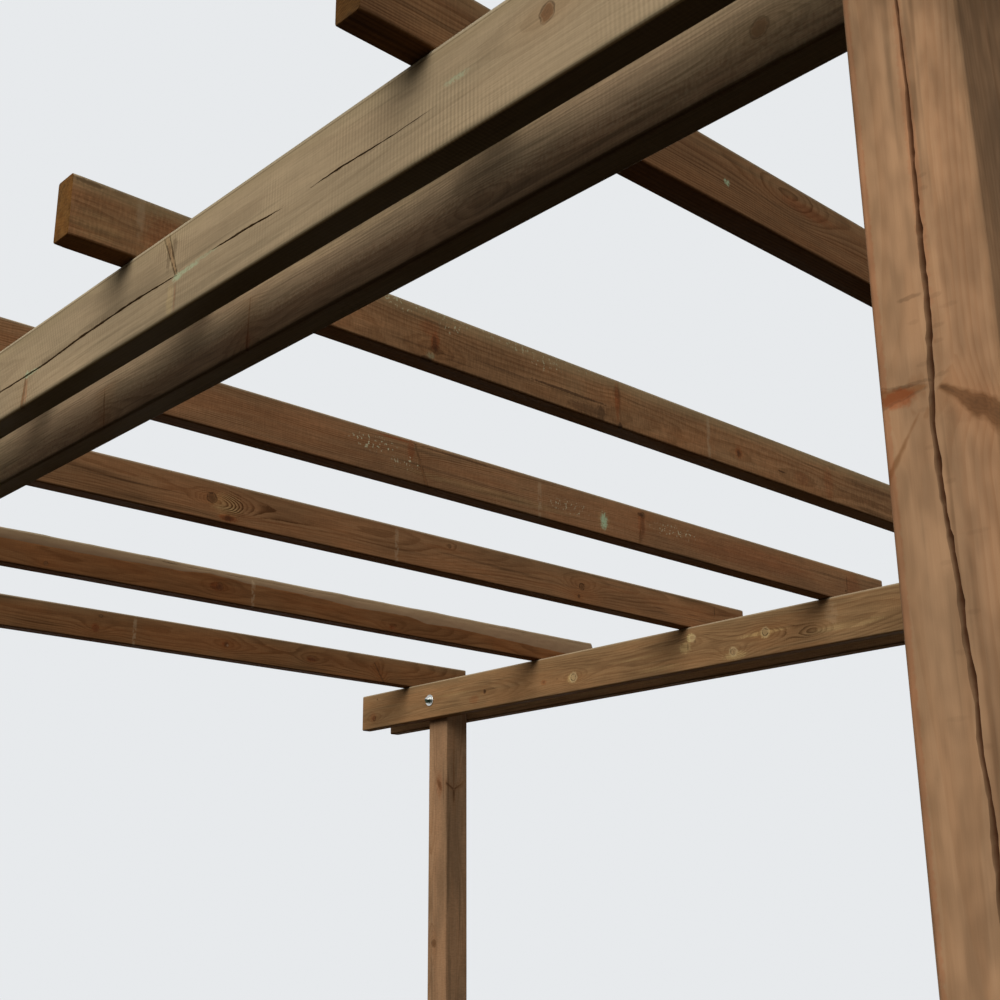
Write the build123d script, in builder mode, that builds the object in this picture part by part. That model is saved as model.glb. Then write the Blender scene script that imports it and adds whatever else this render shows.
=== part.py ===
from build123d import *
import os

# A free-standing garden pergola in planed softwood: four square posts, a doubled
# beam bolted across the front posts and another across the back posts, and seven
# rafters laid over them. X runs along the beams, Y along the rafters and Z up. The
# origin is on the ground, in the middle of the four posts. The front is towards -Y.

# Ground plan, from post centre to post centre
post_spacing_x = 3130
post_spacing_y = 2240

# Timber sections
post_width = 90
beam_thickness = 36
beam_depth = 120
rafter_thickness = 40
rafter_depth = 88
arris_radius = 4

# Height under the beams, and overhangs past the posts and past the beams
clear_height = 2200
beam_overhang = 365
rafter_overhang = 92

# Rafters, spaced outwards from the middle one; the outer two stand just past the posts
inner_bay = 468
middle_bay = 596
rafter_post_gap = 60

# One rafter was sawn near the bark: a flat of wane takes off its upper right edge. It
# narrows a little from the front end to the middle and widens to the back end
waney_rafter = "rafter_2"
wane_front_depth = 31
wane_middle_depth = 26
wane_back_depth = 56
wane_width = 20

# A bolt passes through each doubled beam and the post between its two halves
bolt_hole_radius = 6.5

post_height = clear_height + beam_depth
beam_length = post_spacing_x + 2 * beam_overhang
beam_middle_height = clear_height + beam_depth / 2
rafter_bottom = clear_height + beam_depth
rafter_length = post_spacing_y + post_width + 2 * (beam_thickness + rafter_overhang)

post_x = post_spacing_x / 2
post_y = post_spacing_y / 2
beam_offset = post_width / 2 + beam_thickness / 2
outer_rafter_x = post_x + post_width / 2 + rafter_post_gap + rafter_thickness / 2
rafter_half = [inner_bay, inner_bay + middle_bay, outer_rafter_x]
rafter_row = [-x for x in reversed(rafter_half)] + [0] + rafter_half

post_places = {
    "post_front_left": (-post_x, -post_y),
    "post_front_right": (post_x, -post_y),
    "post_back_left": (-post_x, post_y),
    "post_back_right": (post_x, post_y),
}
beam_places = {
    "beam_front_outer": -post_y - beam_offset,
    "beam_front_inner": -post_y + beam_offset,
    "beam_back_inner": post_y - beam_offset,
    "beam_back_outer": post_y + beam_offset,
}
rafter_places = {f"rafter_{number}": x for number, x in enumerate(rafter_row, 1)}


def bolt_hole_places(columns, front_face_y):
    """Planes on a front face, one for each bolt, all at the middle of the beams' depth."""
    return [Plane((x, front_face_y, beam_middle_height), z_dir=(0, -1, 0)) for x in columns]


def save(piece, name):
    """Label a finished piece and write it under the same name."""
    piece.part.label = name
    export_step(piece.part, f"parts/{name}.step")


os.makedirs("parts", exist_ok=True)

# Posts, with softened corners, their heads level with the tops of the beams
for name, (x, y) in post_places.items():
    with BuildPart() as post:
        with BuildSketch(Plane((x, y, 0))):
            RectangleRounded(post_width, post_width, arris_radius)
        extrude(amount=post_height)
        with Locations(*bolt_hole_places([x], y - post_width / 2)):
            Hole(bolt_hole_radius, post_width)
    save(post, name)

# Beams, on edge, one against each side of the posts
for name, y in beam_places.items():
    with BuildPart() as beam:
        left_end = Plane((-beam_length / 2, y, beam_middle_height), x_dir=(0, 1, 0), z_dir=(1, 0, 0))
        with BuildSketch(left_end):
            RectangleRounded(beam_thickness, beam_depth, arris_radius)
        extrude(amount=beam_length)
        with Locations(*bolt_hole_places([-post_x, post_x], y - beam_thickness / 2)):
            Hole(bolt_hole_radius, beam_thickness)
    save(beam, name)

# Rafters, on edge, standing on the four beams
for name, x in rafter_places.items():
    with BuildPart() as rafter:
        front_end = Plane(
            (x, -rafter_length / 2, rafter_bottom + rafter_depth / 2), x_dir=(-1, 0, 0), z_dir=(0, 1, 0)
        )
        with BuildSketch(front_end):
            RectangleRounded(rafter_thickness, rafter_depth, arris_radius)
        extrude(amount=rafter_length)
        if name == waney_rafter:
            # The waste is a three-sided wedge along the upper right edge
            right = -rafter_thickness / 2
            top = rafter_depth / 2
            for station, depth in enumerate((wane_front_depth, wane_middle_depth, wane_back_depth)):
                with BuildSketch(front_end.offset(station * rafter_length / 2)):
                    Polygon((right, top), (right + wane_width, top), (right, top - depth), align=None)
            loft(ruled=True, mode=Mode.SUBTRACT)
    save(rafter, name)
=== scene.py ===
"""Timber pergola: detailed timbers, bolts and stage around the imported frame.

Every timber is modelled in its own coordinates: x along the grain, y through the face that
shows most (its show face is at -y) and z across that face. A matrix then puts it in its place.
"""

import math

import bmesh
import bpy
from mathutils import Matrix, Vector, noise


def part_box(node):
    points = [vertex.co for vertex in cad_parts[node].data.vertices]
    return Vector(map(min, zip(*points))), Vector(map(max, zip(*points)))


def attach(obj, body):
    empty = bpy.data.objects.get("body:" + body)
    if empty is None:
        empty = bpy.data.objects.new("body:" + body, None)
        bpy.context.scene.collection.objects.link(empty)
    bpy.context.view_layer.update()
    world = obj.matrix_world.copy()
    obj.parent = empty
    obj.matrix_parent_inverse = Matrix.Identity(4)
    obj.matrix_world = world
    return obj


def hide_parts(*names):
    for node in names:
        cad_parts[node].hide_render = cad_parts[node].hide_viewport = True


bl_info = {
    "name": "Timber Pergola",
    "version": (1, 0, 0),
    "blender": (4, 5, 0),
    "location": "3D View > Sidebar > Pergola",
    "description": "Builds the posts, beams, rafters, bolts and stage of a timber pergola",
    "category": "Add Mesh",
}

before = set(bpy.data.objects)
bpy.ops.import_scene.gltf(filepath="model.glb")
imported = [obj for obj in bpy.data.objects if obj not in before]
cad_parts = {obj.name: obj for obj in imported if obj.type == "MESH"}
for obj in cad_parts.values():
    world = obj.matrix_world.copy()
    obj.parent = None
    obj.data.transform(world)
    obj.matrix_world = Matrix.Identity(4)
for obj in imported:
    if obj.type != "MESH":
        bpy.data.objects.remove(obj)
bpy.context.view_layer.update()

MM = 0.001
BODY = "root"

POSTS = ("post_front_left", "post_front_right", "post_back_left", "post_back_right")
BEAMS = ("beam_front_outer", "beam_front_inner", "beam_back_inner", "beam_back_outer")
RAFTERS = tuple(f"rafter_{number}" for number in range(1, 8))
WANEY = "rafter_2"

# Columns of each matrix: where a timber's own x, y and z point in the frame
POST_AXES = Matrix(((0, 0, -1), (0, 1, 0), (1, 0, 0)))
BEAM_AXES = Matrix.Identity(3)
RAFTER_AXES = Matrix(((0, -1, 0), (1, 0, 0), (0, 0, 1)))


# ---- Sizes and colours that a user would change


def colour_prop(name, description, default):
    """A colour setting, given as the linear value that a shader socket takes."""
    return bpy.props.FloatVectorProperty(
        name=name, description=description, subtype="COLOR", size=3, min=0.0, max=1.0, default=default
    )


def length_prop(name, description, default):
    """A length setting in metres."""
    return bpy.props.FloatProperty(
        name=name, description=description, default=default, min=0.0, precision=5, unit="LENGTH",
        subtype="DISTANCE",
    )


class PostSettings(bpy.types.PropertyGroup):
    """Sizes and colours of the posts."""

    arris: length_prop("Arris radius", "Radius of the long softened corners", 4 * MM)
    ring_step: length_prop("Ring step", "Distance between the mesh's cross loops", 9 * MM)
    early: colour_prop("Early wood", "Pale wood between the growth rings", (0.30, 0.182, 0.102))
    late: colour_prop("Late wood", "Dark wood of the growth rings", (0.211, 0.109, 0.053))
    heart: colour_prop("Heartwood", "Redder wood in streaks along the grain", (0.232, 0.123, 0.062))


class BeamSettings(bpy.types.PropertyGroup):
    """Sizes and colours of the beams."""

    arris: length_prop("Arris radius", "Radius of the long softened corners", 4 * MM)
    ring_step: length_prop("Ring step", "Distance between the mesh's cross loops", 10 * MM)
    early: colour_prop("Early wood", "Pale wood between the growth rings", (0.24, 0.144, 0.07))
    late: colour_prop("Late wood", "Dark wood of the growth rings", (0.134, 0.07, 0.032))
    heart: colour_prop("Heartwood", "Redder wood in streaks along the grain", (0.183, 0.095, 0.042))
    weathered: colour_prop("Weathered wood", "Greyer pale wood in front", (0.29, 0.222, 0.138))
    weathered_late: colour_prop("Weathered late wood", "Greyer dark wood in front", (0.150, 0.103, 0.060))
    weathered_heart: colour_prop("Weathered heartwood", "Greyer streaks in front", (0.190, 0.130, 0.082))


class RafterSettings(bpy.types.PropertyGroup):
    """Sizes and colours of the rafters."""

    arris: length_prop("Arris radius", "Radius of the long softened corners", 4 * MM)
    ring_step: length_prop("Ring step", "Distance between the mesh's cross loops", 12 * MM)
    early: colour_prop("Early wood", "Pale wood between the growth rings", (0.275, 0.144, 0.062))
    late: colour_prop("Late wood", "Dark wood of the growth rings", (0.141, 0.06, 0.021))
    heart: colour_prop("Heartwood", "Redder wood in streaks along the grain", (0.197, 0.085, 0.032))


class BoltSettings(bpy.types.PropertyGroup):
    """Sizes and colour of the bolts."""

    shank_radius: length_prop("Shank radius", "Radius of the bolt's shank", 6 * MM)
    across_flats: length_prop("Across flats", "Width of the head and the nut between two flats", 19 * MM)
    head_height: length_prop("Head height", "Thickness of the hexagonal head", 7.5 * MM)
    nut_height: length_prop("Nut height", "Thickness of the nut", 10.5 * MM)
    washer_radius: length_prop("Washer radius", "Outer radius of the round washers", 18.5 * MM)
    washer_thickness: length_prop("Washer thickness", "Thickness of the round washers", 3 * MM)
    zinc: colour_prop("Zinc", "Colour of the plated steel", (0.66, 0.68, 0.67))


class StageSettings(bpy.types.PropertyGroup):
    """The floor, the light and the camera."""

    floor_size: length_prop("Floor size", "Side of the square floor", 60.0)
    floor_colour: colour_prop("Floor", "Colour of the floor", (0.60, 0.60, 0.595))
    backdrop: colour_prop("Backdrop", "Colour behind the pergola", (0.80, 0.82, 0.84))
    key_light: bpy.props.FloatProperty(
        name="Key light", description="Strength of the wide sun from the front right", default=2.55, min=0.0
    )
    fill_light: bpy.props.FloatProperty(
        name="Fill light", description="Strength of the weak sun from the back left", default=1.2, min=0.0
    )
    sky_light: bpy.props.FloatProperty(
        name="Sky light", description="Strength of the soft light from above", default=0.98, min=0.0
    )


# ---- Node trees


class Net:
    """Adds nodes to one tree, a call a node. An input is a socket, a number, a vector or a colour."""

    def __init__(self, tree):
        self.tree = tree

    def add(self, kind, inputs=(), **settings):
        """A node with its settings, and its inputs fed by name, identifier or place."""
        node = self.tree.nodes.new(kind)
        count = len(self.tree.nodes)
        node.location = (200 * (count // 8), -170 * (count % 8))
        for key, value in settings.items():
            setattr(node, key, value)
        for key, value in dict(inputs).items():
            self.feed(self.socket(node.inputs, key), value)
        return node

    @staticmethod
    def socket(sockets, key):
        """The socket at a place, or with an identifier or a name."""
        if isinstance(key, int):
            return sockets[key]
        for socket in sockets:
            if socket.identifier == key:
                return socket
        return sockets[key]

    def feed(self, socket, value):
        """Link a socket into another, or write a plain value on it."""
        if isinstance(value, bpy.types.NodeSocket):
            self.tree.links.new(value, socket)
        elif hasattr(value, "__len__"):
            socket.default_value = tuple(value) + (1.0,) * (len(socket.default_value) - len(value))
        else:
            socket.default_value = value

    def math(self, operation, *values, clamp=False):
        """A Math node's result."""
        return self.add("ShaderNodeMath", enumerate(values), operation=operation, use_clamp=clamp).outputs[0]

    def plus(self, a, b):
        """a + b."""
        return self.math("ADD", a, b)

    def minus(self, a, b):
        """a - b."""
        return self.math("SUBTRACT", a, b)

    def times(self, a, b, clamp=False):
        """a * b."""
        return self.math("MULTIPLY", a, b, clamp=clamp)

    def over(self, a, b):
        """a / b."""
        return self.math("DIVIDE", a, b)

    def times_plus(self, a, b, c):
        """a * b + c."""
        return self.math("MULTIPLY_ADD", a, b, c)

    def most(self, a, b):
        """The greater of a and b."""
        return self.math("MAXIMUM", a, b)

    def vector(self, operation, *values):
        """A Vector Math node's result, which is a number for a length or a dot product."""
        outputs = self.add("ShaderNodeVectorMath", enumerate(values), operation=operation).outputs
        return outputs["Value" if operation in ("LENGTH", "DOT_PRODUCT") else "Vector"]

    def scale(self, vector, factor):
        """A vector times a number."""
        return self.add("ShaderNodeVectorMath", {"Vector": vector, "Scale": factor}, operation="SCALE").outputs[0]

    def split(self, vector):
        """The three components of a vector."""
        return self.add("ShaderNodeSeparateXYZ", {0: vector}).outputs[:]

    def join(self, x, y, z):
        """A vector from three components."""
        return self.add("ShaderNodeCombineXYZ", {0: x, 1: y, 2: z}).outputs[0]

    def noise(self, vector, scale, detail=2.0, roughness=0.5):
        """Smooth noise around 0.5."""
        inputs = {"Vector": vector, "Scale": scale, "Detail": detail, "Roughness": roughness}
        return self.add("ShaderNodeTexNoise", inputs).outputs[0]

    def line_noise(self, value, detail=1.0, out=0):
        """Smooth noise along one number, or three of them with the second output."""
        inputs = {"W": value, "Scale": 1.0, "Detail": detail}
        return self.add("ShaderNodeTexNoise", inputs, noise_dimensions="1D").outputs[out]

    def ramp(self, value, low, high, start=0.0, end=1.0):
        """A smooth step from start, at or under low, to end, at or over high."""
        inputs = {"Value": value, "From Min": low, "From Max": high, "To Min": start, "To Max": end}
        return self.add("ShaderNodeMapRange", inputs, interpolation_type="SMOOTHSTEP").outputs[0]

    def blend(self, factor, a, b, mode="MIX"):
        """Colour a changed into colour b by a factor."""
        inputs = {"Factor_Float": factor, "A_Color": a, "B_Color": b}
        node = self.add("ShaderNodeMix", data_type="RGBA", blend_type=mode)
        for key, value in inputs.items():
            self.feed(self.socket(node.inputs, key), value)
        return self.socket(node.outputs, "Result_Color")

    def attribute(self, name):
        """A number that the mesh carries at its points."""
        return self.add("ShaderNodeAttribute", attribute_name=name, attribute_type="GEOMETRY").outputs["Fac"]

    def dye(self, factor, colour, dye):
        """A colour multiplied by a dye, by a factor."""
        return self.blend(factor, colour, self.blend(1.0, colour, dye, "MULTIPLY"))

    def group(self, tree, inputs):
        """A group node with its inputs fed."""
        return self.add("ShaderNodeGroup", inputs, node_tree=tree).outputs


SOCKETS = {"F": "NodeSocketFloat", "V": "NodeSocketVector", "C": "NodeSocketColor"}


def new_group(name, inputs, outputs):
    """An empty shader group, with its sockets by kind. Returns the tree, its net, and its two end nodes."""
    tree = bpy.data.node_groups.new(name, "ShaderNodeTree")
    for way, kinds in (("INPUT", inputs), ("OUTPUT", outputs)):
        for kind, keys in kinds.items():
            for key in keys:
                tree.interface.new_socket(name=key, in_out=way, socket_type=SOCKETS[kind])
    net = Net(tree)
    return tree, net, net.add("NodeGroupInput").outputs, net.add("NodeGroupOutput").inputs


# What a knot hands on to the next one, and the marks that lie on the wood
CARRIED = ("Bulge", "Mask", "Tone", "Rim", "Halo", "Resin")
MARKS = ("Pale", "Bold", "Band", "Green", "Specks", "Stain", "Red", "Bark side", "Shade in check")

# How fine and how broken some marks are: noise scale, its detail, and where it starts and is full
GRAINS = (("Green", 320.0, 1.0, 0.26, 0.48), ("Specks", 190.0, 3.0, 0.59, 0.655), ("Band", 75.0, 1.0, 0.28, 0.54))

# Linear colours of the wood's own finishes, and of its painted highlight and painted shade
PALE_WOOD = (0.55, 0.42, 0.19)
BARK_SIDE_DARK, BARK_SIDE_PALE = (0.116, 0.073, 0.042), (0.176, 0.112, 0.065)
SAWN_DARK, SAWN_PALE = (0.42, 0.36, 0.20), (0.68, 0.63, 0.38)
RESIN, HALO = (0.82, 0.60, 0.42), (0.50, 0.39, 0.21)
KNOT_PALE, KNOT_DARK, BARK = (0.19, 0.088, 0.037), (0.042, 0.021, 0.011), (0.035, 0.018, 0.009)
WEATHERED, TOP_HIGHLIGHT, LOWER_EDGE_SHADE = (0.30, 0.245, 0.135), (0.45, 0.38, 0.265), (0.053, 0.046, 0.025)
UNLIT, RED_DYE = (0.66, 0.55, 0.40), (0.93, 0.46, 0.30)
# In the order in which they lie over one another: the mark, how strong it gets, and its colour
MARK_COLOURS = (
    ("Band", 0.34, (0.352, 0.268, 0.169)), ("Red", 0.8, RED_DYE), ("Stain", 0.8, (0.035, 0.018, 0.01)),
    ("Green", 1.0, (0.33, 0.46, 0.30)), ("Specks", 1.0, (0.52, 0.56, 0.38)),
    # The last mark is painted shade deep in the drying checks
    ("Shade in check", 0.85, (0.115, 0.043, 0.019)),
)


def knot_group():
    """One branch, as a cone from its root outwards, and how the growth rings lift round it.

    It adds itself to the values that the knots before it give.
    """
    thinnest = 0.6 * MM
    ring_turns = 3100.0
    squeeze = (0.42, 1.0, 1.0)
    tree, net, start, end = new_group(
        "branch_knot",
        {
            "V": ("Position", "Root", "Axis"),
            "F": ("Wander", "Radius", "Taper", "Lift", "Reach", "Shade", "Pale", "Bark") + CARRIED,
        },
        {"F": CARRIED},
    )
    offset = net.vector("SUBTRACT", start["Position"], start["Root"])
    along = net.vector("DOT_PRODUCT", offset, start["Axis"])
    across = net.vector("SUBTRACT", offset, net.scale(start["Axis"], along))
    radius = net.most(net.times_plus(along, start["Taper"], start["Radius"]), thinnest)
    wander = net.times(start["Wander"], net.times(radius, 125.0, clamp=True))
    distance = net.plus(net.vector("LENGTH", across), wander)
    past_rim = net.minus(distance, radius)
    share = net.over(distance, radius)

    # The branch starts at its root, with an edge that is softer on the inside
    gate = net.ramp(along, -1 * MM, 3 * MM)
    inner = net.times_plus(radius, -0.30, -1 * MM)
    outer = net.times_plus(radius, 0.10, 0.5 * MM)
    body = net.times(gate, net.ramp(past_rim, inner, outer, 1.0, 0.0))
    spread = net.over(net.vector("LENGTH", net.vector("MULTIPLY", across, squeeze)), start["Reach"])
    falloff = net.times(net.math("EXPONENT", net.times(net.times(spread, spread), -1.0)), gate)
    years = net.times_plus(net.math("SINE", net.times(distance, ring_turns)), 0.14, 0.72)
    core = net.ramp(share, 0.0, 0.5, 0.3, 0.0)
    tone = net.times(net.plus(years, core), start["Shade"])

    # The bark is a broken dark line, thicker on one side than on the other
    bark_width = net.times_plus(start["Wander"], 0.4, net.times_plus(start["Bark"], 1.2 * MM, 0.7 * MM))
    bark = net.over(net.math("ABSOLUTE", past_rim), bark_width)
    rim = net.times(net.times(net.ramp(bark, 0.3, 1.2, 1.0, 0.0), gate), start["Bark"])
    rim = net.times(rim, net.ramp(start["Wander"], -1.8 * MM, 0.4 * MM, 0.3, 1.0))
    halo = net.times(net.ramp(share, 1.1, 1.9, 1.0, 0.0), gate)
    solid = net.times(body, net.times_plus(start["Pale"], -0.85, 1.0))
    net.feed(end["Bulge"], net.times_plus(falloff, start["Lift"], start["Bulge"]))
    for key, value in (
        ("Mask", solid), ("Tone", net.times(tone, body)), ("Rim", rim),
        ("Halo", net.times(halo, start["Pale"])), ("Resin", net.times(falloff, start["Shade"])),
    ):
        net.feed(end[key], net.most(start[key], value))
    return tree


def patch_group():
    """A soft-edged patch, as an ellipsoid with a ragged edge, kept where it is stronger than the rest."""
    tree, net, start, end = new_group(
        "surface_patch",
        {"V": ("Position", "Centre", "Reach"), "F": ("Ragged", "Strength", "Mask")},
        {"F": ("Mask",)},
    )
    offset = net.vector("DIVIDE", net.vector("SUBTRACT", start["Position"], start["Centre"]), start["Reach"])
    distance = net.plus(net.vector("LENGTH", offset), start["Ragged"])
    mask = net.times(net.ramp(distance, 0.55, 1.15, 1.0, 0.0), start["Strength"])
    net.feed(end["Mask"], net.most(start["Mask"], mask))
    return tree


def wood_group():
    """Softwood seen as a solid: growth rings round a leaning pith, fibres, planer ripple and stains."""
    tree, net, start, end = new_group(
        "sawn_softwood",
        {
            "V": ("Position", "Seed", "Pith", "Lean", "Wool scale"),
            "C": ("Early", "Late", "Heart"),
            "F": (
                "Ring width", "Half length", "Half depth", "Contrast", "Streaks", "Grain", "Wool", "Clouds",
                "Ripple", "Algae", "Damp", "Bleach", "Underside",
            ) + CARRIED + MARKS,
        },
        {"C": ("Colour",), "F": ("Height", "Roughness")},
    )
    place = start["Position"]
    seeded = net.vector("ADD", place, start["Seed"])
    x, _, z = net.split(place)

    def grain_noise(along, across, detail=2.0, roughness=0.5):
        """Noise drawn out along the timber."""
        return net.noise(net.vector("MULTIPLY", seeded, (along, across, across)), 1.0, detail, roughness)

    def soften(value, low, high, start_at, end_at, amount):
        """A factor around 1 that follows a noise, by an amount."""
        return net.times_plus(net.ramp(value, low, high, start_at, end_at), amount, 1.0)

    # The pith leans and wanders along the timber, and the rings wave round it
    wander = net.line_noise(net.times(net.split(seeded)[0], 1.1), out=1)
    pith = net.vector("MULTIPLY_ADD", start["Lean"], net.join(x, x, x), start["Pith"])
    pith = net.vector("MULTIPLY_ADD", wander, (0.0, 0.03, 0.03), pith)
    from_pith = net.vector("MULTIPLY", net.vector("SUBTRACT", place, pith), (0.0, 1.0, 1.0))
    radius = net.times_plus(grain_noise(3.0, 16.0, 1.0), 0.011, net.vector("LENGTH", from_pith))
    radius = net.times_plus(grain_noise(14.0, 130.0, 1.0), 0.0014, radius)
    radius = net.minus(radius, start["Bulge"])
    growth = net.line_noise(net.times(radius, 45.0), 0.0)
    rings = net.times_plus(growth, 2.2, net.over(radius, start["Ring width"]))
    year = net.math("FRACT", rings)
    late = net.times(net.ramp(year, 0.30, 0.88), net.ramp(year, 0.92, 1.0, 1.0, 0.0))
    number = net.add("ShaderNodeTexWhiteNoise", {"W": net.math("FLOOR", rings)}, noise_dimensions="1D").outputs[0]
    late = net.times(late, net.times_plus(number, 0.75, 0.45))

    # Fibres, long streaks and clouds of colour run along the grain
    fibre = grain_noise(22.0, 700.0, 2.0, 0.6)
    streak = grain_noise(2.2, 70.0, 2.0, 0.62)
    blotch = grain_noise(3.2, 13.0, 2.0, 0.6)
    cloud = net.noise(seeded, 4.0, 2.0, 0.6)
    wool = net.noise(net.vector("MULTIPLY", seeded, start["Wool scale"]), 1.0, 1.0)

    early = net.blend(start["Pale"], start["Early"], PALE_WOOD)
    contrast = net.plus(start["Contrast"], start["Bold"])
    colour = net.blend(net.times(late, contrast, clamp=True), early, start["Late"])
    heart = net.ramp(net.times_plus(blotch, 0.5, net.times(streak, 0.5)), 0.44, 0.60)
    colour = net.blend(net.times(net.times(heart, start["Streaks"]), 0.75), colour, start["Heart"])
    tint = soften(blotch, 0.28, 0.72, -0.24, 0.22, start["Clouds"])
    tint = net.times(tint, net.times_plus(net.times(late, start["Bold"]), -0.62, 1.0))
    tint = net.times(tint, soften(fibre, 0.25, 0.75, -0.18, 0.16, start["Grain"]))
    tint = net.times(tint, soften(wool, 0.25, 0.75, -0.12, 0.12, start["Wool"]))
    dark_streak = soften(streak, 0.30, 0.42, 1.0, 0.0, -0.30)
    tint = net.times(tint, net.most(dark_streak, net.minus(1.0, start["Streaks"])))

    # Planer ripple, in patches, across the grain
    ripple_phase = net.times_plus(cloud, 5.0, net.times(x, 1150.0))
    ripple = net.times(net.ramp(cloud, 0.36, 0.54), start["Ripple"])
    ripple = net.times(net.math("SINE", ripple_phase), ripple)
    tint = net.times(tint, net.times_plus(ripple, 0.10, 1.0))
    colour = net.blend(1.0, colour, net.join(tint, tint, tint), "MULTIPLY")

    # The bark side of the log is pale and smooth, with a few brown threads of inner bark
    bark_side = net.times(start["Bark side"], net.ramp(fibre, 0.22, 0.42, 0.55, 0.95))
    colour = net.blend(bark_side, colour, net.blend(net.ramp(x, -1.0, 1.0), BARK_SIDE_DARK, BARK_SIDE_PALE))

    # Ends show their rings darker, with saw lines across them
    past_end = net.minus(net.math("ABSOLUTE", x), start["Half length"])
    at_end = net.ramp(past_end, -0.9 * MM, -0.6 * MM)
    saw = net.noise(net.vector("MULTIPLY", place, (0.0, 90.0, 900.0)), 1.0, 1.0)
    colour = net.dye(at_end, colour, net.blend(net.ramp(saw, 0.3, 0.7), SAWN_DARK, SAWN_PALE))

    # Knots: the resin round them, pale wood round some, their red-brown wood and their bark
    colour = net.dye(net.times(start["Resin"], 0.5, clamp=True), colour, RESIN)
    knot_colour = net.blend(start["Tone"], KNOT_PALE, KNOT_DARK)
    for key, strength, dye in (("Halo", 0.75, HALO), ("Mask", 0.8, knot_colour), ("Rim", 0.8, BARK)):
        colour = net.blend(net.times(start[key], strength, clamp=True), colour, dye)

    # Grey-green weathering along the upper edge and in clouds, and painted shade that darkens the lower edge
    above = net.minus(z, start["Half depth"])
    below = net.plus(z, start["Half depth"])
    near_top = net.ramp(net.times_plus(cloud, 0.02, above), -20 * MM, 6 * MM)
    face_only = net.minus(1.0, at_end)
    algae = net.most(near_top, net.ramp(cloud, 0.50, 0.75, 0.0, 0.5))
    algae = net.times(net.times(algae, face_only), start["Algae"])
    colour = net.blend(net.times(algae, 0.7), colour, WEATHERED)
    # Painted highlight: the top face and its upper arris are made lighter, where the light from above falls
    top_highlight_mask = net.ramp(above, -5.6 * MM, -3.4 * MM)
    colour = net.blend(net.times(net.times(top_highlight_mask, face_only), start["Bleach"]), colour, TOP_HIGHLIGHT)
    damp = net.ramp(net.times_plus(cloud, -0.008, below), -2 * MM, 6 * MM, 1.0, 0.0)
    colour = net.blend(net.times(damp, start["Damp"]), colour, LOWER_EDGE_SHADE)
    # Painted shade on the underside, which also stands for wood there that never bleaches in the light
    under = net.ramp(below, 0.7 * MM, 2.6 * MM, 1.0, 0.0)
    colour = net.dye(net.times(under, start["Underside"]), colour, UNLIT)

    # Marks of its own: stacking-stick bands, copper salts, specks, red smudges and dark stains
    for key, strength, dye in MARK_COLOURS:
        share = net.times(start[key], strength, clamp=True)
        colour = net.dye(share, colour, dye) if dye is RED_DYE else net.blend(share, colour, dye)

    height = net.times_plus(ripple, 0.06 * MM, net.times(fibre, 0.14 * MM))
    net.feed(end["Colour"], colour)
    net.feed(end["Height"], height)
    net.feed(end["Roughness"], net.ramp(blotch, 0.3, 0.7, 0.66, 0.82))
    return tree


# ---- What each timber shows. Lengths are in millimetres in the timber's own coordinates:
# x along it, z across its show face (up on a beam or rafter)


SHOW, BACK = -1, 1


def branch(root, axis, radius, taper, lift, reach, shade, pale, bark):
    """What one knot's group is fed, with its lengths in metres."""
    return {
        "Root": tuple(value * MM for value in root), "Axis": Vector(axis).normalized(), "Radius": radius * MM,
        "Taper": taper, "Lift": lift * MM, "Reach": reach * MM, "Shade": shade, "Pale": pale, "Bark": bark,
    }


def face_knot(x, z, radius, lift=9, reach=20, shade=0.6, pale=0, side=SHOW, slant=(0.12, 0), bark=0.7):
    """A knot cut across by the show face, or by the back face."""
    return branch((x, -side * 12, z), (slant[0], side, slant[1]), radius, 0.06, lift, reach, shade, pale, bark)


def spike_knot(x, y, z, axis, radius=1.5, taper=0.12, lift=5, reach=14, shade=0.5, pale=0, bark=0.7):
    """A branch cut lengthwise, from its root at the pith out to an edge."""
    return branch((x, y, z), axis, radius, taper, lift, reach, shade, pale, bark)


def stick_bands(x, strength, along=6.5):
    """The pale bands that a stacking stick left round a rafter, on the show face and on the back."""
    return (x, 0, along, 60, strength), (x, 0, along, 60, 0.7, BACK)


COMMON_LOOK = {
    "tint": (1, 1, 1), "streaks": 0.7, "grain": 1, "wool": 0.4, "wool_scale": (330, 75, 75), "bleach": 0.45,
    "damp": 0.1, "clouds": 1, "patches": {},
}
POST_LOOK = {**COMMON_LOOK, "streaks": 0.5, "grain": 0.6, "wool": 0.8, "bleach": 0}

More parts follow.
